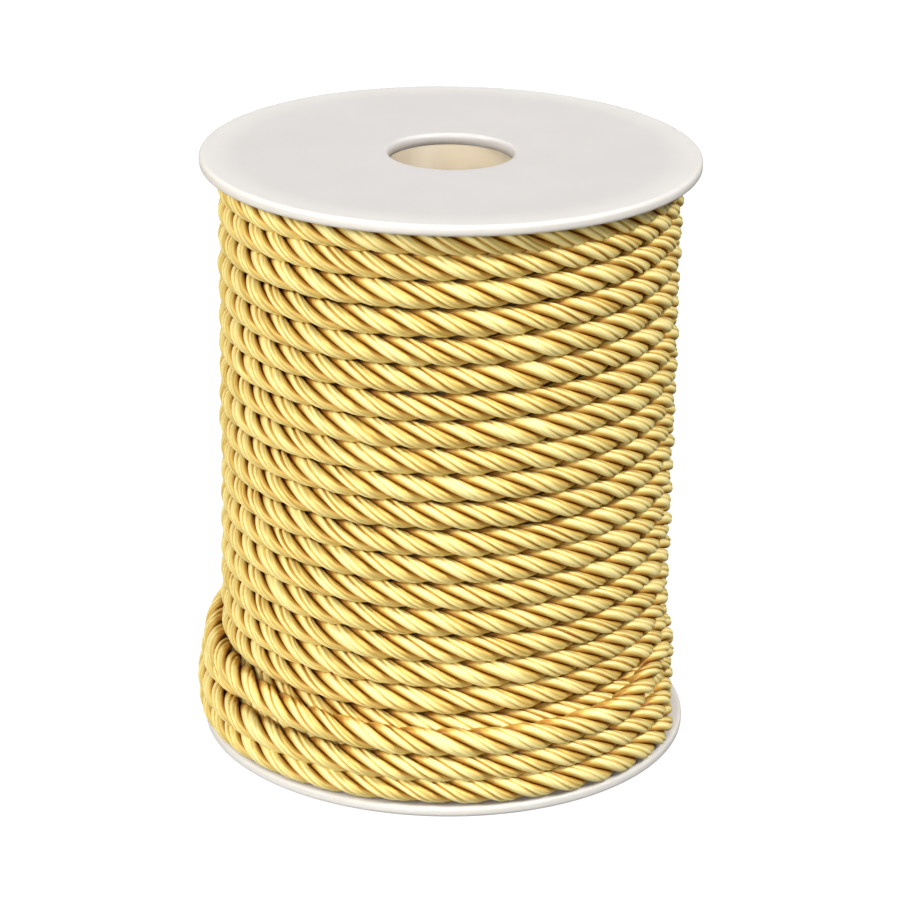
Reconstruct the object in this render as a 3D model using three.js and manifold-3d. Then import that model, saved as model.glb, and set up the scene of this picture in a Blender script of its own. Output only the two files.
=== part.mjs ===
// A spool of three-ply twisted cord, standing on one flange.
// Millimetres, +Z up. The origin is on the axis, in the plane the spool rests on.
// Angles run anticlockwise seen from above, and 0 is the front, towards -Y.
import * as THREE from 'three';
import { mergeGeometries, mergeVertices } from 'three/addons/utils/BufferGeometryUtils.js';
import Module from 'manifold-3d';

// Moulded reel
const REEL_HEIGHT = 110;
const FLANGE_RADIUS = 45;
const FLANGE_THICKNESS = 2;
const FLANGE_EDGE_ROUND = 0.7;
const BORE_RADIUS = 11.25;
const BORE_LIP_ROUND = 1.2;
const CORE_WALL = 2.25;

// Every piece keeps this much clear of the next one.
const SEAT_GAP = 0.3;

// Cord and the outer layer of its winding
const CORD_RADIUS = 2.5;
const TURN_PITCH = 5.04;
const LAYER_RADIUS = 39.4;
const LOWEST_TURN_HEIGHT = 5.3;
const TURNS_IN_LAYER = 21;
const GROOVE_DEPTH = 1.7;
const SWAY_AT_FOOT = -1.0;
const SWAY_AT_TOP = 0.4;

// Steps of the facets
const REEL_FACETS = 64;
const WINDING_FACETS = 48;
const ROUND_STEPS = 3;
const SPARE_TURNS = 3;

const LOWER_FACE = FLANGE_THICKNESS + SEAT_GAP;
const UPPER_FACE = REEL_HEIGHT - FLANGE_THICKNESS - SEAT_GAP;
const CORE_RADIUS = BORE_RADIUS + CORE_WALL;
const FULL_TURN = 2 * Math.PI;
const RIGHT_ANGLE = Math.PI / 2;

// The part layer over the foot of the winding: four turns, lowest first.
// height: at the front, on the right, at the back and on the left.
// lift: how far the cord stands out from the full layer.
// tuck: how much of that is lost where it is pulled in, at an angle in degrees
// and fading out over a reach either side of it.
const FOOT_TURNS = [
  { height: [4.8, 4.8, 4.8, 4.8], lift: 4.4, tuck: 3.0, tuckAt: 105, tuckReach: 60 },
  { height: [9.3, 9.4, 10.4, 9.3], lift: 4.5, tuck: 3.0, tuckAt: 100, tuckReach: 55 },
  { height: [14.2, 13.8, 15.2, 13.8], lift: 4.4, tuck: 3.0, tuckAt: 95, tuckReach: 55 },
  { height: [17.6, 17.8, 19.4, 17.8], lift: 3.6, tuck: 2.5, tuckAt: 40, tuckReach: 115 },
];
const FOOT_INNER_RADIUS = 34;
const FOOT_SHOULDER = 2.1;

// Points closer than this are one point.
const SAME_POINT = 1e-4;

const wasm = await Module();
wasm.setup();

// A solid from a closed geometry, whose shared points are merged first.
function toSolid(geometry) {
  const bare = geometry.clone();
  bare.deleteAttribute('normal');
  bare.deleteAttribute('uv');
  const merged = mergeVertices(bare, SAME_POINT);
  return new wasm.Manifold(new wasm.Mesh({
    numProp: 3,
    vertProperties: new Float32Array(merged.attributes.position.array),
    triVerts: new Uint32Array(merged.index.array),
  }));
}

function toGeometry(solid) {
  const mesh = solid.getMesh();
  const geometry = new THREE.BufferGeometry();
  geometry.setAttribute('position', new THREE.BufferAttribute(mesh.vertProperties, mesh.numProp));
  geometry.setIndex(new THREE.BufferAttribute(mesh.triVerts, 1));
  geometry.computeVertexNormals();
  return geometry;
}

// A profile of [radius, height] points turned about +Z, starting at the front.
function turned(profile, facets) {
  const points = profile.map(([radius, height]) => new THREE.Vector2(radius, height));
  return new THREE.LatheGeometry(points, facets).rotateX(RIGHT_ANGLE);
}

// Points of a quarter round between two directions, about a centre.
function quarterRound(centreRadius, centreHeight, size, fromAngle) {
  const points = [];
  for (let step = 0; step <= ROUND_STEPS; step += 1) {
    const angle = fromAngle + (RIGHT_ANGLE * step) / ROUND_STEPS;
    points.push([
      centreRadius + size * Math.cos(angle),
      centreHeight + size * Math.sin(angle),
    ]);
  }
  return points;
}

// Both flanges are one thin moulded disc, drawn with its outer face down, with a
// rounded rim and a soft lip round the bore.
function flangeGeometry() {
  const rimCentre = FLANGE_RADIUS - FLANGE_EDGE_ROUND;
  const lipCentre = BORE_RADIUS + BORE_LIP_ROUND;
  const innerFace = FLANGE_THICKNESS;
  const profile = [
    ...quarterRound(rimCentre, FLANGE_EDGE_ROUND, FLANGE_EDGE_ROUND, -RIGHT_ANGLE),
    ...quarterRound(rimCentre, innerFace - FLANGE_EDGE_ROUND, FLANGE_EDGE_ROUND, 0),
    [BORE_RADIUS, innerFace],
    ...quarterRound(lipCentre, BORE_LIP_ROUND, BORE_LIP_ROUND, Math.PI),
  ];
  profile.push(profile[0]);
  return turned(profile, REEL_FACETS);
}

// The core is a plain tube as long as the gap between the flanges.
function coreGeometry() {
  const length = UPPER_FACE - LOWER_FACE;
  const profile = [
    [CORE_RADIUS, 0],
    [CORE_RADIUS, length],
    [BORE_RADIUS, length],
    [BORE_RADIUS, 0],
    [CORE_RADIUS, 0],
  ];
  return turned(profile, REEL_FACETS);
}

// The turns aren't laid quite level: each is a little higher on one side.
function swayAt(height) {
  const share = THREE.MathUtils.clamp(height / REEL_HEIGHT, 0, 1);
  return THREE.MathUtils.lerp(SWAY_AT_FOOT, SWAY_AT_TOP, share);
}

// Across one turn: the groove below it, its lower flank, its crest, its upper flank.
const TURN_ROWS = [
  { rise: -TURN_PITCH / 2, radius: CORD_RADIUS - GROOVE_DEPTH },
  { rise: -TURN_PITCH / 4, radius: Math.sqrt(CORD_RADIUS ** 2 - (TURN_PITCH / 4) ** 2) },
  { rise: 0, radius: CORD_RADIUS },
  { rise: TURN_PITCH / 4, radius: Math.sqrt(CORD_RADIUS ** 2 - (TURN_PITCH / 4) ** 2) },
];

// The wall that closes a helical stack where its last column meets its first,
// a pitch higher. The outline lies in the plane of the front.
function seamWall(outline, facesBack) {
  const shape = new THREE.Shape(outline.map(([radius, height]) => new THREE.Vector2(radius, height)));
  const wall = new THREE.ShapeGeometry(shape).rotateX(RIGHT_ANGLE).rotateZ(-RIGHT_ANGLE);
  if (facesBack) {
    const index = wall.index.array;
    for (let i = 0; i < index.length; i += 3) {
      [index[i], index[i + 1]] = [index[i + 1], index[i]];
    }
  }
  return wall;
}

// The full layer is one helix of close turns. A turned stack of ridges is lifted
// by one pitch on its way round, so that each ridge runs on into the next.
function fullLayerSolid() {
  const outer = [];
  const inner = [];
  const turnCount = TURNS_IN_LAYER + 2 * SPARE_TURNS;
  for (let turn = 0; turn < turnCount; turn += 1) {
    const centre = LOWEST_TURN_HEIGHT + (turn - SPARE_TURNS) * TURN_PITCH;
    TURN_ROWS.forEach((row) => outer.push([LAYER_RADIUS + row.radius, centre + row.rise]));
    inner.push([BORE_RADIUS, centre + TURN_ROWS[0].rise]);
  }
  const [footRadius, foot] = outer[0];
  const head = foot + turnCount * TURN_PITCH;
  outer.push([footRadius, head]);
  inner.push([BORE_RADIUS, head]);
  const profile = [...outer, ...inner.reverse(), outer[0]];
  const stack = turned(profile, WINDING_FACETS);
  const footSeam = [
    [BORE_RADIUS, foot],
    ...outer.slice(0, TURN_ROWS.length + 1),
    [BORE_RADIUS, foot + TURN_PITCH],
  ];
  const headSeam = footSeam.map(([radius, height]) => [radius, height - foot + head]);
  const position = stack.attributes.position;
  for (let i = 0; i < position.count; i += 1) {
    const column = Math.floor(i / profile.length);
    position.setZ(i, position.getZ(i) + (TURN_PITCH * column) / WINDING_FACETS);
  }
  const closed = mergeGeometries([stack, seamWall(footSeam, false), seamWall(headSeam, true)]);
  const places = closed.attributes.position;
  for (let i = 0; i < places.count; i += 1) {
    const x = places.getX(i);
    const y = places.getY(i);
    const tilt = swayAt(places.getZ(i)) / LAYER_RADIUS;
    places.setZ(i, places.getZ(i) + tilt * x);
  }
  return toSolid(closed);
}

// A smooth value round the spool from its values at the front, right, back and left.
function aroundSpool([front, right, back, left], angle) {
  const mean = (front + right + back + left) / 4;
  const frontBack = (front - back) / 2;
  const rightLeft = (right - left) / 2;
  const twoFold = (front + back - right - left) / 4;
  return mean + frontBack * Math.cos(angle) + rightLeft * Math.sin(angle)
    + twoFold * Math.cos(2 * angle);
}

// How far a turn of the part layer stands out at an angle.
function liftAt({ lift, tuck, tuckAt, tuckReach }, angle) {
  const apart = THREE.MathUtils.euclideanModulo(
    angle - THREE.MathUtils.degToRad(tuckAt) + Math.PI,
    FULL_TURN,
  ) - Math.PI;
  const share = Math.min(Math.abs(apart) / THREE.MathUtils.degToRad(tuckReach), 1);
  return lift - (tuck * (1 + Math.cos(Math.PI * share))) / 2;
}

// The part layer is a ring with a ridge for each of its turns. Its rows are
// placed column by column, since its height and lift change round the spool.
function footLayerSolid() {
  const rowsAt = (angle) => {
    const rows = [[FOOT_INNER_RADIUS, 0]];
    let top = 0;
    FOOT_TURNS.forEach((turn, number) => {
      const height = aroundSpool(turn.height, angle);
      const centre = LAYER_RADIUS + liftAt(turn, angle);
      const below = number ? aroundSpool(FOOT_TURNS[number - 1].height, angle) : 0;
      const lower = number ? (height + below) / 2 : 0;
      const grooveRadius = centre + CORD_RADIUS - GROOVE_DEPTH;
      rows.push([grooveRadius, lower]);
      rows.push([centre + TURN_ROWS[1].radius, (lower + height) / 2]);
      rows.push([centre + CORD_RADIUS, height]);
      rows.push([centre + TURN_ROWS[3].radius, height + TURN_ROWS[3].rise]);
      top = height + FOOT_SHOULDER;
      if (number === FOOT_TURNS.length - 1) {
        rows.push([centre, top]);
      }
    });
    rows.push([FOOT_INNER_RADIUS, top]);
    rows.push(rows[0]);
    return rows;
  };
  const ring = turned(rowsAt(0), WINDING_FACETS);
  const rowCount = rowsAt(0).length;
  const position = ring.attributes.position;
  for (let column = 0; column <= WINDING_FACETS; column += 1) {
    const angle = (FULL_TURN * (column % WINDING_FACETS)) / WINDING_FACETS;
    rowsAt(angle).forEach(([radius, height], row) => {
      const place = column * rowCount + row;
      position.setXYZ(place, radius * Math.sin(angle), -radius * Math.cos(angle), height);
    });
  }
  return toSolid(ring);
}

// The winding fills the space between the flanges, round the core.
function windingGeometry() {
  const reach = 2 * FLANGE_RADIUS;
  const inner = CORE_RADIUS + SEAT_GAP;
  const sleeve = toSolid(turned([
    [reach, LOWER_FACE],
    [reach, UPPER_FACE],
    [inner, UPPER_FACE],
    [inner, LOWER_FACE],
    [reach, LOWER_FACE],
  ], WINDING_FACETS));
  return toGeometry(fullLayerSolid().add(footLayerSolid()).intersect(sleeve));
}

const milkyPlastic = { color: 0xefece6, roughness: 0.42, metalness: 0 };
const satinCord = { color: 0xe6c878, roughness: 0.45, metalness: 0 };

function piece(name, geometry, finish) {
  const mesh = new THREE.Mesh(geometry, new THREE.MeshStandardMaterial(finish));
  mesh.name = name;
  return mesh;
}

const lowerFlange = piece('reel_flange_bottom', flangeGeometry(), milkyPlastic);

const upperFlange = piece('reel_flange_top', flangeGeometry(), milkyPlastic);
upperFlange.rotation.x = Math.PI;
upperFlange.position.z = REEL_HEIGHT;

const core = piece('reel_core', coreGeometry(), milkyPlastic);
core.position.z = LOWER_FACE;

const winding = piece('cord_winding', windingGeometry(), satinCord);

const spool = new THREE.Group();
spool.add(lowerFlange, upperFlange, core, winding);

export default spool;
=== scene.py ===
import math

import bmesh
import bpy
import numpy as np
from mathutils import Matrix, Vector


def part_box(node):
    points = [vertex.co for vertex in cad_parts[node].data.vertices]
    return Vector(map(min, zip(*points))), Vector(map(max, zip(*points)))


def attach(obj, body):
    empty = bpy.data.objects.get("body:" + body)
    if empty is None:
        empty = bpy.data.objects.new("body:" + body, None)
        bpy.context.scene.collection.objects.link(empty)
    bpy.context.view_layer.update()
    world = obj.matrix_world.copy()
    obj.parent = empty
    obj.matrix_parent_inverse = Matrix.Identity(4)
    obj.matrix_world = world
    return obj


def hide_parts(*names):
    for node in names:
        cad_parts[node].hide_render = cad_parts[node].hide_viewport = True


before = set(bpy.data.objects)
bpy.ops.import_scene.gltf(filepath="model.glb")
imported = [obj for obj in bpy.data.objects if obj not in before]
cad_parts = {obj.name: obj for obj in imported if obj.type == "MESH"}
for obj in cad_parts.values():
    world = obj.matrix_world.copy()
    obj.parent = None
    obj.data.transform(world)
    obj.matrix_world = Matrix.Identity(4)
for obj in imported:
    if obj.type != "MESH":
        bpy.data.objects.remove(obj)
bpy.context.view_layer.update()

# %% [markdown]
# A spool of satin cord
#
# The real thing is about twenty metres of three-ply golden cord, wound in close turns
# on a plain milky plastic reel. The lesson goes from the camera to the reel, then to
# the cord, which is one long path with a twisted section drawn along it.
# Everything is in metres. The axis of the spool is +Z and the floor is at zero, as in
# the frame, so each piece is made where it stands and is never moved afterwards.

MM = 0.001
print("frame nodes:", sorted(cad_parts))

# %% [markdown]
# The sizes that everything follows
#
# The reel's sizes are read from the frame, so the new pieces can't drift from it. The
# cord's sizes are its own: a five-millimetre cord, wound at a pitch a hair over its
# thickness. It is soft, so its crowns stand out a little further than half of that and
# press into the turns beside them. The radius of a turn is measured to the middle of
# the cord, and the lay is the length in which the plies go once round each other.

# %% Driving sizes
FLANGE_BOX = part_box("reel_flange_bottom")
UPPER_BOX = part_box("reel_flange_top")
CORE_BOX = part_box("reel_core")
FLANGE_RADIUS = FLANGE_BOX[1][0]
FLANGE_THICKNESS = FLANGE_BOX[1][2]
REEL_HEIGHT = UPPER_BOX[1][2]
UPPER_FACE = UPPER_BOX[0][2]
CORE_RADIUS = CORE_BOX[1][0]
BORE_RADIUS = 11.25 * MM
RIM_ROUND = 0.7 * MM
LIP_ROUND = 0.7 * MM

CORD_RADIUS = 2.66 * MM
TURN_PITCH = 5.04 * MM
LAYER_RADIUS = 39.3 * MM
LOWEST_TURN_HEIGHT = 5.3 * MM
CORD_LAY = 19.3 * MM
FULL_TURN = 2 * math.pi
print("reel", FLANGE_RADIUS, REEL_HEIGHT, "core", CORE_RADIUS)

# %% [markdown]
# The camera
#
# A camera could be set by eye, but its place was worked out from the ellipses of the
# flanges and the outline of the winding: a long lens, about 64 cm away, looking down
# by 21 degrees and rolled by less than one. Depth of field stays off, because a
# product picture is sharp all over.

# %% Camera
CAMERA_DISTANCE = 638.9 * MM
CAMERA_ELEVATION = math.radians(21.03)
CAMERA_ROLL = math.radians(0.78)
CAMERA_TARGET = np.array([0.54, 0.0, 52.8]) * MM
SENSOR_WIDTH_MM = 36.0
LENS_MM = 138.5
NEAREST_SEEN = 10 * MM
FARTHEST_SEEN = 50.0


def make_camera():
    """The camera, looking down at the target, its right side turned up by the roll."""
    back = np.array([0, -math.cos(CAMERA_ELEVATION), math.sin(CAMERA_ELEVATION)])
    level = np.array([1.0, 0.0, 0.0])
    rise = np.cross(back, level)
    right = math.cos(CAMERA_ROLL) * level + math.sin(CAMERA_ROLL) * rise
    up = np.cross(back, right)
    lens = bpy.data.cameras.new("camera")
    lens.sensor_width = SENSOR_WIDTH_MM
    lens.lens = LENS_MM
    lens.clip_start = NEAREST_SEEN
    lens.clip_end = FARTHEST_SEEN
    camera = bpy.data.objects.new("camera", lens)
    matrix = np.eye(4)
    matrix[:3, 0] = right
    matrix[:3, 1] = up
    matrix[:3, 2] = back
    matrix[:3, 3] = CAMERA_TARGET + CAMERA_DISTANCE * back
    camera.matrix_world = [list(row) for row in matrix.T]
    bpy.context.scene.collection.objects.link(camera)
    bpy.context.scene.camera = camera
    return camera


camera = make_camera()
print("camera at", [round(v, 3) for v in camera.matrix_world.translation])

# %% [markdown]
# Two small helpers for finishes
#
# Colours are easiest to note down as sRGB hex values, and shaders want linear light,
# so one function turns the first into the second. Another adds a node with its
# settings and its links in one go, which keeps each material short to read.


# %% Colour and node helpers
def linear(code):
    """Linear RGBA of an sRGB hex value."""
    parts = [int(code[at : at + 2], 16) / 255 for at in (0, 2, 4)]
    lit = [c / 12.92 if c <= 0.04045 else ((c + 0.055) / 1.055) ** 2.4 for c in parts]
    return (*lit, 1.0)


def add(material, kind, settings=None, links=None):
    """A new node, with its sockets or properties set and its inputs linked."""
    tree = material.node_tree
    node = tree.nodes.new(kind)
    for name, value in (settings or {}).items():
        if isinstance(name, str) and hasattr(node, name):
            setattr(node, name, value)
        else:
            node.inputs[name].default_value = value
    for name, source in (links or {}).items():
        tree.links.new(source, node.inputs[name])
    return node


def new_material(name):
    """An empty node material and its output."""
    material = bpy.data.materials.new(name)
    material.use_nodes = True
    material.node_tree.nodes.clear()
    return material, add(material, "ShaderNodeOutputMaterial")


def colour_steps(ramp, steps):
    """Sets a colour ramp's stops from (place, hex) pairs."""
    stops = ramp.color_ramp.elements
    while len(stops) < len(steps):
        stops.new(1.0)
    for stop, (place, code) in zip(stops, steps):
        stop.position = place
        stop.color = linear(code)


# %% [markdown]
# Studio floor and light
#
# Such a picture is taken on a light table, a sheet of opal acrylic that is lit a little
# from below, so hardly a shadow shows. The cord is as bright at both sides as in front,
# so there is a broad soft light on either side, a weaker one in front and a faint one
# behind. The right one stands higher, because the grooves there are the darkest. Sun
# lamps with wide discs do their work: they light the whole floor evenly, where area
# lights would leave bright pools. The surround is kept dim, because an even light from
# everywhere would fill the grooves.
# The table's own glow reaches only the camera, or it would wash out the depth of the
# grooves. What it does to the undersides of the turns is left to one faint lamp that
# shines up through it from the left.

# %% Floor and lights
FLOOR_HALF = 3.0
TABLE_GLOW = 0.85
SURROUND_STRENGTH = 0.14
# Each lamp: its name, its degrees round from the front towards the right, its degrees up,
# how many degrees wide it looks, its strength and its tint.
SUN_LAMPS = [
    ("left_light", -62, 32, 24, 2.3, "FFFDF8"),
    ("front_light", -10, 20, 20, 1.6, "FFFFFF"),
    ("right_light", 58, 47, 14, 3.0, "FFFFFF"),
    ("table_light", -48, -24, 50, 0.9, "FFFFFF"),
    ("back_light", 178, 62, 40, 0.9, "FFFFFF"),
]


def make_floor():
    """A large plain floor just under the spool."""
    bm = bmesh.new()
    bmesh.ops.create_grid(bm, x_segments=1, y_segments=1, size=FLOOR_HALF)
    mesh = bpy.data.meshes.new("studio_floor")
    bm.to_mesh(mesh)
    bm.free()
    floor = bpy.data.objects.new("studio_floor", mesh)
    bpy.context.scene.collection.objects.link(floor)
    paint, output = new_material("opal_acrylic_light_table")
    shader = add(
        paint,
        "ShaderNodeBsdfPrincipled",
        {
            "Base Color": linear("7C7C7B"),
            "Roughness": 0.9,
            "Emission Color": linear("FFFFFF"),
            "Emission Strength": TABLE_GLOW,
        },
    )
    paint.node_tree.links.new(shader.outputs["BSDF"], output.inputs["Surface"])
    mesh.materials.append(paint)
    floor.visible_diffuse = False
    floor.visible_glossy = False
    floor.visible_shadow = False


def make_sun(name, azimuth, elevation, spread, strength, tint):
    """A wide sun lamp that shines on the spool from the given place."""
    lamp = bpy.data.lights.new(name, "SUN")
    lamp.angle = math.radians(spread)
    lamp.energy = strength
    lamp.color = linear(tint)[:3]
    light = bpy.data.objects.new(name, lamp)
    turn, rise = math.radians(azimuth), math.radians(elevation)
    away = np.array(
        [math.sin(turn) * math.cos(rise), -math.cos(turn) * math.cos(rise), math.sin(rise)]
    )
    side = np.cross([0, 0, 1], away)
    side = side / np.linalg.norm(side)
    matrix = np.eye(4)
    matrix[:3, 0] = side
    matrix[:3, 1] = np.cross(away, side)
    matrix[:3, 2] = away
    matrix[:3, 3] = away
    light.matrix_world = [list(row) for row in matrix.T]
    bpy.context.scene.collection.objects.link(light)


def make_world(strength):
    """An even white surround."""
    world = bpy.data.worlds.new("studio_surround")
    world.use_nodes = True
    world.node_tree.nodes["Background"].inputs["Color"].default_value = linear("FFFFFF")
    world.node_tree.nodes["Background"].inputs["Strength"].default_value = strength
    bpy.context.scene.world = world


make_floor()
make_world(SURROUND_STRENGTH)
for sun_lamp in SUN_LAMPS:
    make_sun(*sun_lamp)
bpy.context.scene.view_settings.view_transform = "Standard"

# %% [markdown]
# Spinning the reel
#
# A flange is turned from a rectangle: the section is drawn once as a ring of edges and
# spun right round the axis, which bmesh closes by itself. The moulded roundings are
# bevels on the rim and on the lip of the bore. Bevelling after the spin is simpler
# than drawing arcs in the section, and support rings a little inside each rounding
# keep the flat face shading flat.

# %% Spun pieces
REEL_STEPS = 144
SUPPORT = 0.5 * MM
RIM_SEGMENTS = 4
LIP_SEGMENTS = 5
RING_TOLERANCE = 0.01 * MM


def finish_piece(name, bm, material, node):
    """Turns a bmesh into a piece that rides on the spool and stands for one of its nodes."""
    bmesh.ops.recalc_face_normals(bm, faces=bm.faces)
    mesh = bpy.data.meshes.new(name)
    bm.to_mesh(mesh)
    bm.free()
    mesh.materials.append(material)
    piece = bpy.data.objects.new(name, mesh)
    bpy.context.scene.collection.objects.link(piece)
    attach(piece, "root")
    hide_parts(node)
    print(name, len(mesh.vertices), "points,", len(mesh.polygons), "faces")
    return piece


def spun(outline, steps):
    """A bmesh of a closed outline of (radius, height) points, spun about the axis."""
    bm = bmesh.new()
    ring = [bm.verts.new((radius, 0, height)) for radius, height in outline]
    edges = [bm.edges.new(pair) for pair in zip(ring, ring[1:] + ring[:1])]
    bmesh.ops.spin(
        bm,
        geom=ring + edges,
        axis=(0, 0, 1),
        cent=(0, 0, 0),
        angle=FULL_TURN,
        steps=steps,
        use_merge=True,
    )
    for face in bm.faces:
        face.smooth = True
    return bm


def round_rings(bm, rings, size, segments):
    """Bevels the whole ring edges that lie at the given (radius, height) places."""
    chosen = []
    for edge in bm.edges:
        places = [(math.hypot(v.co.x, v.co.y), v.co.z) for v in edge.verts]
        for radius, height in rings:
            if all(math.dist(p, (radius, height)) < RING_TOLERANCE for p in places):
                chosen.append(edge)
    bmesh.ops.bevel(
        bm,
        geom=chosen,
        offset=size,
        affect="EDGES",
        segments=segments,
        profile=0.5,
        material=-1,
    )


def flange_bmesh(inner_face, outer_face):
    """One flange between its two faces' heights."""
    near_rim = FLANGE_RADIUS - RIM_ROUND - SUPPORT
    near_lip = BORE_RADIUS + LIP_ROUND + SUPPORT
    outline = [
        (BORE_RADIUS, inner_face),
        (near_rim, inner_face),
        (FLANGE_RADIUS, inner_face),
        (FLANGE_RADIUS, outer_face),
        (near_rim, outer_face),
        (near_lip, outer_face),
        (BORE_RADIUS, outer_face),
    ]
    bm = spun(outline, REEL_STEPS)
    rim_rings = [(FLANGE_RADIUS, inner_face), (FLANGE_RADIUS, outer_face)]
    round_rings(bm, rim_rings, RIM_ROUND, RIM_SEGMENTS)
    round_rings(bm, [(BORE_RADIUS, outer_face)], LIP_ROUND, LIP_SEGMENTS)
    return bm


# %% [markdown]
# The reel's plastic
#
# The reel is injection-moulded natural polypropylene: milky, soft to look at, with a
# faint satin skin from the mould and light that wanders a few millimetres inside it.
# That is why the rim looks brighter, where no cord lies behind the thin flange. Glass
# with something in it would be slow to render, so subsurface scattering gives the
# softness, painted light raises the tone a little outside the winding, over painted
# shade where the cord lies behind, and a very low, wide bump gives the slow waves of
# the moulding.

# %% Polypropylene
POLYPROPYLENE_IOR = 1.49
SCATTER_DEPTH = 2.0 * MM
MOULD_WAVE = 14 * MM
MOULD_WAVE_HEIGHT = 0.15 * MM
# The mould's real grain is finer still, and this is as coarse as it has to be to show.
MOULD_GRAIN = 0.35 * MM
MOULD_GRAIN_HEIGHT = 0.02 * MM
BACKED_RADIUS = 38.0 * MM
RIM_EDGE_RADIUS = 45.0 * MM
# Each step of painted light beyond the winding: how far out it lies, from 0 at the backed
# radius to 1 at the edge of the rim, and what the plastic's colour is multiplied by there.
PAINTED_RIM_LIGHT_TONES = [(0.65, "E4E3E2"), (0.9, "E4E3E2"), (1.0, "F0EEEA")]


def polypropylene(name, body_code, shade_code, backed_shade_code):
    """Natural polypropylene, moulded: milky, with painted shade behind the cord, painted light
    at the rim.
    """
    material, output = new_material(name)
    place = add(material, "ShaderNodeTexCoord")
    cloud = add(
        material,
        "ShaderNodeTexNoise",
        {"Scale": 1 / MOULD_WAVE, "Detail": 3.0, "Roughness": 0.5},
        {"Vector": place.outputs["Object"]},
    )
    tone = add(material, "ShaderNodeValToRGB", links={"Fac": cloud.outputs["Fac"]})
    colour_steps(tone, [(0.35, shade_code), (0.65, body_code)])
    flat = add(
        material,
        "ShaderNodeMapping",
        {"Scale": (1.0, 1.0, 0.0)},
        {"Vector": place.outputs["Object"]},
    )
    radius = add(
        material, "ShaderNodeVectorMath", {"operation": "LENGTH"}, {0: flat.outputs["Vector"]}
    )
    unbacked = add(
        material,
        "ShaderNodeMapRange",
        {
            "From Min": BACKED_RADIUS,
            "From Max": RIM_EDGE_RADIUS,
            "interpolation_type": "LINEAR",
        },
        {"Value": radius.outputs["Value"]},
    )
    # Painted shade over the winding, rising to painted light at the rim, by the radius.
    painted_backing_tone = add(material, "ShaderNodeValToRGB", links={"Fac": unbacked.outputs["Result"]})
    colour_steps(painted_backing_tone, [(0.0, backed_shade_code), *PAINTED_RIM_LIGHT_TONES])
    body = add(
        material,
        "ShaderNodeMix",
        {"data_type": "RGBA", "blend_type": "MULTIPLY", 0: 1.0},
        {6: tone.outputs["Color"], 7: painted_backing_tone.outputs["Color"]},
    )
    grain = add(
        material,
        "ShaderNodeTexNoise",
        {"Scale": 1 / MOULD_GRAIN, "Detail": 2.0},
        {"Vector": place.outputs["Object"]},
    )
    skin = add(
        material,
        "ShaderNodeBump",
        {"Strength": 0.12, "Distance": MOULD_GRAIN_HEIGHT},
        {"Height": grain.outputs["Fac"]},
    )
    wave = add(
        material,
        "ShaderNodeBump",
        {"Strength": 0.3, "Distance": MOULD_WAVE_HEIGHT},
        {"Height": cloud.outputs["Fac"], "Normal": skin.outputs["Normal"]},
    )
    shader = add(
        material,
        "ShaderNodeBsdfPrincipled",
        {
            "Roughness": 0.42,
            "IOR": POLYPROPYLENE_IOR,
            "Subsurface Weight": 0.6,
            "Subsurface Radius": (1.0, 0.9, 0.75),
            "Subsurface Scale": SCATTER_DEPTH,
        },
        {"Base Color": body.outputs[2], "Normal": wave.outputs["Normal"]},
    )
    material.node_tree.links.new(shader.outputs["BSDF"], output.inputs["Surface"])
    return material


milky_white = polypropylene("polypropylene_moulded_flange", "E0DEDB", "DDDBD8", "DAD8D9")
# The core is painted darker and warmer: painted shade inside the bore, and a painted gold tint
# for light through the wall.
milky_painted_warm_shade = polypropylene("polypropylene_core_painted_shade", "B6A993", "AFA189", "FFFFFF")

# %% Flanges and core
finish_piece(
    "reel_lower_flange",
    flange_bmesh(FLANGE_THICKNESS, 0.0),
    milky_white,
    "reel_flange_bottom",
)
finish_piece(
    "reel_upper_flange",
    flange_bmesh(UPPER_FACE, REEL_HEIGHT),
    milky_white,
    "reel_flange_top",
)
core_outline = [
    (BORE_RADIUS, FLANGE_THICKNESS),
    (CORE_RADIUS, FLANGE_THICKNESS),
    (CORE_RADIUS, UPPER_FACE),
    (BORE_RADIUS, UPPER_FACE),
]
finish_piece(
    "reel_core_tube",
    spun(core_outline, REEL_STEPS),
    milky_painted_warm_shade,
    "reel_core",
)

# %% [markdown]
# The path of the cord
#
# The cord was wound down the reel in one close layer, and then a little way back up
# over its own foot. The full layer is a plain helix with three touches from life:
# it can't go past the flanges, each turn is a little higher on one side, and its first
# turn comes up from the layer underneath at the back.
# The last four turns lie in a part layer. They don't follow a formula, because they
# ride over and tuck behind each other, so each is a short list of places read off the
# picture: the angle from the front, the height, and the lift above the full layer.

# %% Route of the full layer
ROUTE_STEP_DEGREES = 0.5
# How near to a flange the middle of a turn can come, where it is pressed against it.
PRESSED_RADIUS = 2.5 * MM
HIGHEST_TURN_HEIGHT = UPPER_FACE - PRESSED_RADIUS
LOWEST_TURN_LIMIT = FLANGE_THICKNESS + PRESSED_RADIUS
# How gently it is stopped there.
SOFT_STOP = 0.6 * MM
# How much higher a turn is at the right than in front, at the foot and at the top.
SWAY_AT_FOOT = -1.0 * MM
SWAY_AT_TOP = 0.4 * MM
# Turns are counted up from the lowest one in front. The layer starts and ends at the back.
FIRST_TURN = 20.55
LAST_TURN = -0.5
# How much of a turn it takes to come up from the layer below, and how deep that one lies.
DIVE_TURNS = 0.35
DIVE_DEPTH = 4.7 * MM


def soft_floor(value, limit):
    """The value, kept above a limit with a rounded corner."""
    over = value - limit
    return limit + (over + np.sqrt(over**2 + SOFT_STOP**2)) / 2


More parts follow.
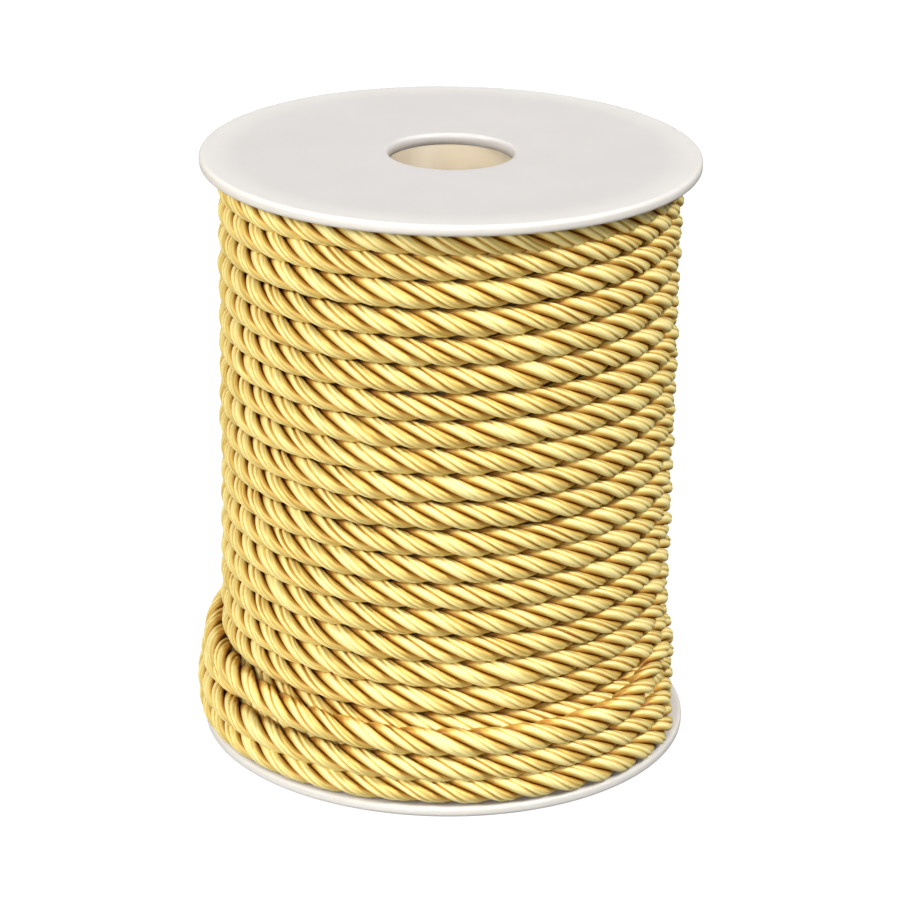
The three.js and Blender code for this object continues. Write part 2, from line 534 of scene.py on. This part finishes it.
def full_layer_route():
    """Angle in degrees, height and radius along the full layer, from the top down."""
    count = int((FIRST_TURN - LAST_TURN) * 360 / ROUTE_STEP_DEGREES)
    turn = np.linspace(FIRST_TURN, LAST_TURN, count)
    angle = turn * FULL_TURN
    height = LOWEST_TURN_HEIGHT + TURN_PITCH * turn
    share = np.clip(height / REEL_HEIGHT, 0, 1)
    height = height + (SWAY_AT_FOOT + share * (SWAY_AT_TOP - SWAY_AT_FOOT)) * np.sin(angle)
    height = soft_floor(height, LOWEST_TURN_LIMIT)
    height = -soft_floor(-height, -HIGHEST_TURN_HEIGHT)
    dive = np.clip(1 - (FIRST_TURN - turn) / DIVE_TURNS, 0, 1)
    radius = LAYER_RADIUS - DIVE_DEPTH * dive**2 * (3 - 2 * dive)
    return np.degrees(angle), height, radius


# %% Route of the part layer
# Each row: degrees from the front towards the right, height in mm, lift in mm.
LOWEST_FOOT_TURN = [
    (150, 4.6, 0.2),
    (110, 4.6, 1.0),
    (82, 4.7, 1.4),
    (68, 4.7, 3.6),
    (45, 4.8, 4.3),
    (0, 4.8, 3.9),
    (-45, 4.8, 4.4),
    (-90, 4.9, 4.5),
    (-180, 7.3, 4.2),
]
SECOND_FOOT_TURN = [
    (82, 9.4, 1.3),
    (60, 9.9, 3.8),
    (0, 9.3, 4.2),
    (-45, 9.2, 4.5),
    (-90, 9.2, 4.6),
    (-180, 11.5, 4.0),
]
# The third turn slips in behind the second and the top one, and comes out again at the left.
THIRD_FOOT_TURN = [
    (82, 13.4, 1.2),
    (62, 13.6, -1.0),
    (45, 13.6, -4.9),
    (0, 13.6, -4.9),
    (-40, 13.6, -4.9),
    (-52, 13.6, -1.0),
    (-62, 13.6, 2.5),
    (-82, 13.8, 4.0),
    (-180, 15.7, 3.9),
]
TOP_FOOT_TURN = [
    (82, 17.4, 1.0),
    (70, 16.5, 1.0),
    (58, 15.4, 2.6),
    (42, 14.6, 4.3),
    (0, 14.2, 4.2),
    (-36, 15.2, 4.4),
    (-50, 16.1, 4.3),
    (-65, 16.8, 4.0),
    (-82, 17.0, 3.6),
    (-100, 17.8, 3.3),
    (-140, 18.8, 3.0),
    (-170, 19.0, 1.6),
    (-180, 18.8, -0.6),
]
FOOT_TURNS = [LOWEST_FOOT_TURN, SECOND_FOOT_TURN, THIRD_FOOT_TURN, TOP_FOOT_TURN]


def smooth_through(x, places, values):
    """A smooth curve through the values at rising places, with no swing past them."""
    places, values = np.array(places), np.array(values)
    rise = np.diff(values) / np.diff(places)
    slope = np.zeros(len(values))
    same = rise[:-1] * rise[1:] > 0
    slope[1:-1][same] = 2 * rise[:-1][same] * rise[1:][same] / (rise[:-1] + rise[1:])[same]
    at = np.clip(np.searchsorted(places, x) - 1, 0, len(rise) - 1)
    width = places[at + 1] - places[at]
    t = (x - places[at]) / width
    return (
        values[at] * (1 + 2 * t) * (1 - t) ** 2
        + slope[at] * width * t * (1 - t) ** 2
        + values[at + 1] * t**2 * (3 - 2 * t)
        - slope[at + 1] * width * t**2 * (1 - t)
    )


def foot_route(start_degrees, start_height):
    """Angle, height and radius along the part layer, which goes on the same way round."""
    wound = [0.0]
    heights = [start_height / MM]
    lifts = [0.0]
    for number, rows in enumerate(FOOT_TURNS):
        for place, height, lift in rows:
            wound.append(180 - place + 360 * number)
            heights.append(height)
            lifts.append(lift)
    x = np.arange(ROUTE_STEP_DEGREES, wound[-1], ROUTE_STEP_DEGREES)
    height = smooth_through(x, wound, heights) * MM
    radius = LAYER_RADIUS + smooth_through(x, wound, lifts) * MM
    return start_degrees - x, height, radius


# %% [markdown]
# Small unevenness
#
# Hand-fed cord is never perfectly even. Slow seeded wandering, made by smoothing
# random values along the length, moves the path by a tenth of a millimetre, tightens
# and loosens the twist, lets single plies swell and slip, and deepens or fills their
# creases. A noise texture could do the last, but only real shape changes the shadows
# in the grooves.

# %% Wandering
WANDER_SEED = 31
chance = np.random.default_rng(WANDER_SEED)


def wander(length, span, size):
    """Smooth random values of about the given size, changing over a span."""
    knots = chance.normal(0, size, int(length[-1] / span) + 3)
    at = length / span
    low = at.astype(int)
    t = at - low
    ease = t * t * (3 - 2 * t)
    return knots[low] * (1 - ease) + knots[low + 1] * ease


# %% Cord path
CORD_STEP = 1.0 * MM
# Each unevenness of the path: over what length of cord it changes, and its size.
HEIGHT_WANDER = (70 * MM, 0.09 * MM)
RADIUS_WANDER = (45 * MM, 0.07 * MM)
# The route's length in metres, rounded up. It only sets how many places to wander through.
ROUTE_LENGTH = 7.0


def cord_path():
    """Points of the cord's middle at even steps, from its start at the top to its end."""
    angle, height, radius = full_layer_route()
    foot_angle, foot_height, foot_radius = foot_route(angle[-1], height[-1])
    angle = np.radians(np.concatenate([angle, foot_angle]))
    height = np.concatenate([height, foot_height])
    radius = np.concatenate([radius, foot_radius])
    along = np.linspace(0, ROUTE_LENGTH, len(angle))
    height = height + wander(along, *HEIGHT_WANDER)
    radius = radius + wander(along, *RADIUS_WANDER)
    points = np.stack([radius * np.sin(angle), -radius * np.cos(angle), height], axis=1)
    gaps = np.linalg.norm(np.diff(points, axis=0), axis=1)
    length = np.concatenate([[0], np.cumsum(gaps)])
    steps = np.arange(0, length[-1], CORD_STEP)
    even = np.stack([np.interp(steps, length, points[:, i]) for i in range(3)], axis=1)
    return steps, even, np.interp(steps, length, angle)


cord_length, cord_points, cord_angle = cord_path()
print("visible cord", round(float(cord_length[-1]), 3), "m in", len(cord_points), "steps")

# %% [markdown]
# The section of the cord
#
# Across the cord there are three plies, pressed together and flattened by the winding,
# so the outline has three broad lobes with narrow, deep grooves. Each ply is laid from
# yarns that leave one plain crease near its middle and a fainter one beside it. One
# outline drawn along a turning path gives all of this with few faces, where nine
# separate round tubes would hide most of their faces inside.

# %% Cord section
PLIES = 3
PLY_PITCH = FULL_TURN / PLIES
PLY_COLUMNS = 24
SECTION_COLUMNS = PLIES * PLY_COLUMNS
# How much the columns crowd towards the grooves, where the outline bends most.
COLUMN_CROWDING = 0.4
# How far from the middle the plies meet, and how flat their crowns are, where 2 is round.
GROOVE_RADIUS = 0.75 * MM
LOBE_FLATNESS = 2.2
# Each crease of a ply: its place across the ply from -1 to 1, and its depth in mm. Their
# width is in the same measure as their place.
CREASES = [(0.02, 0.52), (-0.45, 0.28)]
CREASE_WIDTH = 0.12


def section_shape():
    """The points' angles, radii and depths in a groove, and how far each crease cuts them."""
    even = np.linspace(-1, 1, PLY_COLUMNS, endpoint=False)
    crowded = np.sin(even * math.pi / 2)
    across = (1 - COLUMN_CROWDING) * even + COLUMN_CROWDING * crowded
    crown = np.sqrt(1 - np.abs(across) ** LOBE_FLATNESS)
    radius = GROOVE_RADIUS + (CORD_RADIUS - GROOVE_RADIUS) * crown
    depth = 1 - crown
    cuts = []
    for place, deepest in CREASES:
        cuts.append(deepest * MM * np.exp(-np.abs(across - place) / CREASE_WIDTH))
    angle = across * PLY_PITCH / 2
    turns = np.repeat(np.arange(PLIES) * PLY_PITCH, PLY_COLUMNS)
    return (
        np.tile(angle, PLIES) + turns,
        np.tile(radius, PLIES),
        np.tile(depth, PLIES),
        [np.tile(cut, PLIES) for cut in cuts],
    )


section_angle, section_radius, section_depth, crease_cuts = section_shape()


def make_section():
    """The outline as a flat closed curve, for the cord's curves to draw along."""
    curve = bpy.data.curves.new("cord_section", "CURVE")
    curve.dimensions = "2D"
    line = curve.splines.new("POLY")
    line.points.add(SECTION_COLUMNS - 1)
    line.use_cyclic_u = True
    for point, angle, radius in zip(line.points, section_angle, section_radius):
        point.co = (radius * math.cos(angle), radius * math.sin(angle), 0, 1)
    return bpy.data.objects.new("cord_section", curve)


cord_section = make_section()

# %% [markdown]
# Satin of filament yarn
#
# The yarn is bright polyester filament, dyed a light gold and laid nearly parallel, so
# it shines like satin: broad pale highlights that keep some of the dye's colour, and
# shine that stretches across the threads. Deep in the grooves, and where one turn
# leans on the next, the light has bounced from gold to gold and turns to amber and
# then brown. That is painted shade: a stored depth shifts the colour from pale crowns
# to amber and brown, because bounced light alone would need many more samples, and a
# fine streak pattern follows each ply along the cord's map.

# %% Satin yarn
# Single filaments are too fine to show, so the threads are drawn as coarse as they need to
# be: as small bundles of them.
FILAMENT_SPACING = 0.22 * MM
FILAMENT_HEIGHT = 0.05 * MM
STREAK_LENGTH = 9 * MM
STREAK_SHARE = 0.5
# Each tone of the painted shade: how shut in it lies, from 0 on an open crown to 1 at the
# bottom of a groove, and its colour.
PAINTED_SHADE_TONES = [
    (0.0, "FFF3B0"),
    (0.12, "FCEBA4"),
    (0.22, "E6D284"),
    (0.34, "D3B15C"),
    (0.48, "C08C38"),
    (0.68, "8A5010"),
    (1.0, "2A0E02"),
]


def satin_yarn():
    """Bright filament polyester, twisted: golden, with painted amber shade in its grooves, and
    fine threads.
    """
    material, output = new_material("polyester_satin_filament")
    # Painted shade: each point's stored shade picks its tone, amber to brown where it is shut
    # in.
    depth = add(material, "ShaderNodeAttribute", {"attribute_name": "painted_groove_shade"})
    along = add(material, "ShaderNodeUVMap", {"uv_map": "ply_map"})
    stretched = add(
        material,
        "ShaderNodeMapping",
        {"Scale": (MM / STREAK_LENGTH, MM / FILAMENT_SPACING, 1.0)},
        {"Vector": along.outputs["UV"]},
    )
    threads = add(
        material,
        "ShaderNodeTexNoise",
        {"Scale": 1.0, "Detail": 2.0, "Roughness": 0.6},
        {"Vector": stretched.outputs["Vector"]},
    )
    tone = add(material, "ShaderNodeValToRGB", links={"Fac": depth.outputs["Fac"]})
    colour_steps(tone, PAINTED_SHADE_TONES)
    streak = add(material, "ShaderNodeValToRGB", links={"Fac": threads.outputs["Fac"]})
    colour_steps(streak, [(0.3, "C8B684"), (0.6, "FFFFFF")])
    colour = add(
        material,
        "ShaderNodeMix",
        {"data_type": "RGBA", "blend_type": "MULTIPLY", 0: STREAK_SHARE},
        {6: tone.outputs["Color"], 7: streak.outputs["Color"]},
    )
    bump = add(
        material,
        "ShaderNodeBump",
        {"Strength": 0.35, "Distance": FILAMENT_HEIGHT},
        {"Height": threads.outputs["Fac"]},
    )
    grain = add(
        material, "ShaderNodeTangent", {"direction_type": "UV_MAP", "uv_map": "ply_map"}
    )
    shader = add(
        material,
        "ShaderNodeBsdfPrincipled",
        {
            "Metallic": 0.15,
            "Roughness": 0.48,
            "IOR": 1.6,
            "Specular IOR Level": 0.5,
            "Specular Tint": linear("FFF2BE"),
            "Anisotropic": 0.5,
        },
        {
            "Base Color": colour.outputs[2],
            "Normal": bump.outputs["Normal"],
            "Tangent": grain.outputs["Tangent"],
        },
    )
    material.node_tree.links.new(shader.outputs["BSDF"], output.inputs["Surface"])
    return material


golden_satin = satin_yarn()

# %% [markdown]
# Drawing the cord
#
# Each stretch of path becomes a curve whose points carry a growing tilt, so the
# section turns once in every lay as it is drawn along. The curve is then made a mesh,
# and its points are nudged: each ply swells and slips a little by itself. Each point
# also learns how shut in it is, by its depth in a groove or crease and by how far it
# faces the next turn and not outwards, and that sets its painted shade. The whole cord
# would be too heavy as one piece, so it is cut into five at the back, where the cut
# faces meet end to end.

# %% Drawing along the path
# Each unevenness of the plies: over what length of cord it changes, and its size, which is
# an angle for the first two and a share of the radius or of the crease for the others.
TWIST_WANDER = (110 * MM, math.radians(22))
SLIP_WANDER = (16 * MM, math.radians(7))
SWELL_WANDER = (13 * MM, 0.03)
CREASE_WANDER = (12 * MM, 0.3)
# What a full crease adds to the painted shade, and what facing the next turn adds.
CREASE_SHADE = 0.5
SHUT_IN_SHADE = 0.28
# A point is open when the cosine of the angle between its side and outwards is above this.
OPEN_FACING = 0.36
# The map's measure round the cord, and how much the threads slant across a ply.
SECTION_GIRTH = FULL_TURN * CORD_RADIUS
FILAMENT_SKEW = 0.15

twist = cord_length * FULL_TURN / CORD_LAY + wander(cord_length, *TWIST_WANDER)
groove_slip = [wander(cord_length, *SLIP_WANDER) for _ in range(PLIES)]
ply_swell = [wander(cord_length, *SWELL_WANDER) for _ in range(PLIES)]
crease_change = [
    [np.clip(1 + wander(cord_length, *CREASE_WANDER), 0, 2) for _ in range(PLIES)]
    for _ in CREASES
]


def drawn_cord(name, first, last):
    """The mesh of the section drawn along a stretch of the path, open at its ends."""
    curve = bpy.data.curves.new(name, "CURVE")
    curve.dimensions = "3D"
    curve.twist_mode = "Z_UP"
    curve.bevel_mode = "OBJECT"
    curve.bevel_object = cord_section
    line = curve.splines.new("POLY")
    line.points.add(last - first - 1)
    line.points.foreach_set(
        "co", np.hstack([cord_points[first:last], np.ones((last - first, 1))]).ravel()
    )
    line.points.foreach_set("tilt", twist[first:last])
    source = bpy.data.objects.new(name, curve)
    bpy.context.scene.collection.objects.link(source)
    graph = bpy.context.evaluated_depsgraph_get()
    mesh = bpy.data.meshes.new_from_object(source.evaluated_get(graph))
    bpy.data.objects.remove(source)
    return mesh


def near(centre):
    """How near each column of the section is to an angle: 1 on it, 0 a half ply pitch away."""
    apart = np.abs((section_angle - centre + math.pi) % FULL_TURN - math.pi)
    return (1 + np.cos(np.clip(apart / (PLY_PITCH / 2), 0, 1) * math.pi)) / 2


def nudge_plies(mesh, first, last):
    """Lets each ply swell, slip and crease, and gives back each point's painted shade."""
    places = np.empty(len(mesh.vertices) * 3)
    mesh.vertices.foreach_get("co", places)
    middle = cord_points[first:last, None, :]
    spoke = places.reshape(last - first, SECTION_COLUMNS, 3) - middle
    along = np.gradient(cord_points, axis=0)[first:last, None, :]
    along = along / np.linalg.norm(along, axis=2, keepdims=True)
    slip = np.zeros(spoke.shape[:2])
    swell = np.ones(spoke.shape[:2])
    cut = np.zeros(spoke.shape[:2])
    for ply in range(PLIES):
        own = np.repeat(np.arange(PLIES) == ply, PLY_COLUMNS)
        slip += np.outer(groove_slip[ply][first:last], near((ply + 0.5) * PLY_PITCH))
        swell += np.outer(ply_swell[ply][first:last], near(ply * PLY_PITCH))
        for shape, change in zip(crease_cuts, crease_change):
            cut += np.outer(change[ply][first:last], shape * own)
    swell -= cut / CORD_RADIUS
    outward = middle * np.array([1.0, 1.0, 0.0])
    lengths = np.linalg.norm(spoke, axis=2) * np.linalg.norm(outward, axis=2)
    facing = np.sum(spoke * outward, axis=2) / lengths
    shut_in = np.clip(1 - facing / OPEN_FACING, 0, 1) ** 2
    slip = slip[..., None]
    turned = spoke * np.cos(slip) + np.cross(along, spoke) * np.sin(slip)
    mesh.vertices.foreach_set("co", (middle + turned * swell[..., None]).ravel())
    deepest = CREASES[0][1] * MM
    # The painted shade: darker deep in grooves and creases and where a point faces the next
    # turn.
    shade = section_depth + CREASE_SHADE * cut / deepest + SHUT_IN_SHADE * shut_in
    return np.clip(shade, 0, 1).ravel()


def close_ends(mesh):
    """A bmesh of the drawn cord with a flat, sharp-edged face over each open end."""
    bm = bmesh.new()
    bm.from_mesh(mesh)
    for face in bm.faces:
        face.smooth = True
    rim = [edge for edge in bm.edges if edge.is_boundary]
    for edge in rim:
        edge.smooth = False
    for face in bmesh.ops.holes_fill(bm, edges=rim, sides=0)["faces"]:
        face.smooth = False
    return bm


def store_ply_map(mesh, first, depth):
    """Stores the painted shade on the points, and the map along and round the cord in mm."""
    loops = np.empty(len(mesh.loops), int)
    mesh.loops.foreach_get("vertex_index", loops)
    mesh.attributes.new("painted_groove_shade", "FLOAT", "POINT").data.foreach_set("value", depth)
    step, column = np.divmod(loops, SECTION_COLUMNS)
    starts = np.empty(len(mesh.polygons), int)
    sizes = np.empty(len(mesh.polygons), int)
    mesh.polygons.foreach_get("loop_start", starts)
    mesh.polygons.foreach_get("loop_total", sizes)
    face = np.repeat(np.arange(len(starts)), sizes)
    highest = np.zeros(len(starts), int)
    np.maximum.at(highest, face, column)
    wraps = (column == 0) & (highest[face] == SECTION_COLUMNS - 1)
    across = np.where(wraps, SECTION_COLUMNS, column) * SECTION_GIRTH / SECTION_COLUMNS
    along = cord_length[step + first]
    pairs = np.stack([along, across + FILAMENT_SKEW * along], axis=1) / MM
    while mesh.uv_layers:
        mesh.uv_layers.remove(mesh.uv_layers[0])
    mesh.uv_layers.new(name="ply_map").data.foreach_set("uv", pairs.ravel())


# %% Cord pieces
CORD_PIECES = [
    "cord_top_turns",
    "cord_upper_turns",
    "cord_middle_turns",
    "cord_lower_turns",
    "cord_foot_turns",
]


def cut_steps():
    """The steps where the cord is cut, each where it passes the back of the spool."""
    whole_turns = np.floor((cord_angle + math.pi) / FULL_TURN)
    backs = np.flatnonzero(np.diff(whole_turns)) + 1
    wanted = np.linspace(0, len(cord_points), len(CORD_PIECES) + 1)[1:-1]
    inner = [int(backs[np.argmin(np.abs(backs - at))]) for at in wanted]
    return [0, *inner, len(cord_points) - 1]


cuts = cut_steps()
for name, first, last in zip(CORD_PIECES, cuts, cuts[1:]):
    drawn = drawn_cord(name, first, last + 1)
    depth = nudge_plies(drawn, first, last + 1)
    piece = finish_piece(name, close_ends(drawn), golden_satin, "cord_winding")
    store_ply_map(piece.data, first, depth)

# %% [markdown]
# The layers underneath
#
# Between two turns one can see a little way in, to the layers below. They are one spun
# piece with a ridge for each turn, painted in the dark brown of shade that gold cord has
# where little light comes, and nothing finer is needed for what shows only through chinks.

# %% Inner layers
INNER_CREST = LAYER_RADIUS - DIVE_DEPTH + CORD_RADIUS
INNER_GROOVE = 1.6 * MM
# Steps round the spool, and points up it for each turn.
INNER_STEPS = 96
INNER_POINTS = 4
# The patches of lighter and darker brown are as long as a ply's part of the lay.
INNER_PATCH = CORD_LAY / PLIES


def shaded_satin():
    """The same filament polyester, in painted shade: the brown where it is shut in."""
    material, output = new_material("polyester_satin_inner_painted_shade")
    place = add(material, "ShaderNodeTexCoord")
    patches = add(
        material,
        "ShaderNodeTexNoise",
        {"Scale": 1 / INNER_PATCH, "Detail": 2.0},
        {"Vector": place.outputs["Object"]},
    )
    tone = add(material, "ShaderNodeValToRGB", links={"Fac": patches.outputs["Fac"]})
    colour_steps(tone, [(0.3, "5A3A0C"), (0.7, "8A6220")])
    shader = add(
        material,
        "ShaderNodeBsdfPrincipled",
        {"Roughness": 0.6},
        {"Base Color": tone.outputs["Color"]},
    )
    material.node_tree.links.new(shader.outputs["BSDF"], output.inputs["Surface"])
    return material


def inner_outline():
    """The section of the inner layers: ridges outside, and the core's wall inside."""
    turns = round((UPPER_FACE - FLANGE_THICKNESS) / TURN_PITCH)
    pitch = (UPPER_FACE - FLANGE_THICKNESS) / turns
    points = []
    for at in range(turns * INNER_POINTS + 1):
        swing = (1 - math.cos(FULL_TURN * at / INNER_POINTS)) / 2
        height = FLANGE_THICKNESS + pitch * at / INNER_POINTS
        points.append((INNER_CREST - INNER_GROOVE * (1 - swing), height))
    return [(CORE_RADIUS, FLANGE_THICKNESS), *points, (CORE_RADIUS, UPPER_FACE)]


finish_piece(
    "cord_inner_layers",
    spun(inner_outline(), INNER_STEPS),
    shaded_satin(),
    "cord_winding",
)
bpy.data.objects.remove(cord_section)
